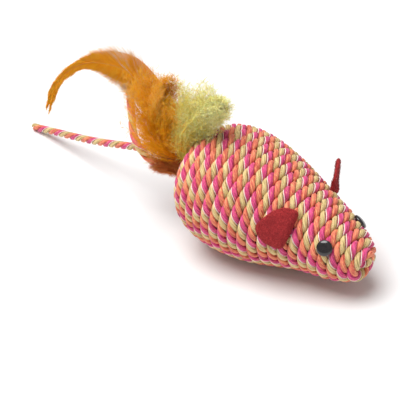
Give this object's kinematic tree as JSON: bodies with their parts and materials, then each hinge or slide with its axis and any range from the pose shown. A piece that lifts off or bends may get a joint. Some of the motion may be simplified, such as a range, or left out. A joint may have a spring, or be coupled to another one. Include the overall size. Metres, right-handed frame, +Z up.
{
  "type": "mouse cat toy",
  "caption": "Mouse cat toy: egg-shaped body wound with pink, orange and straw twisted cord, red felt ears, black bead eyes, cord tail and dyed feathers.",
  "frame": {"origin": "middle of the flat crest that the belly rests on, on the floor under the widest part of the body", "axes": "+X along the floor towards the nose, +Y to the mouse's left, +Z up from the floor"},
  "size_m": [0.2016, 0.0476, 0.0677],
  "materials": {
    "core": "raw",
    "glue": "satin",
    "body_cord": "matte",
    "ear_felt": "matte",
    "eye_bead": "gloss",
    "tail_cord": "matte",
    "orange_feather": "matte",
    "orange_down": "matte",
    "yellow_down": "matte",
    "brown_down": "matte"
  },
  "bodies": {
    "root": {"core": "core", "glue_plug": "glue", "body_winding": "body_cord", "ear_right": "ear_felt", "ear_left": "ear_felt", "eye_right": "eye_bead", "eye_left": "eye_bead", "tail_cord": "tail_cord", "hang_loop": "tail_cord", "orange_feather": "orange_feather", "orange_plume": "orange_down", "yellow_plume": "yellow_down", "lower_plume": "brown_down"}
  },
  "joints": []
}
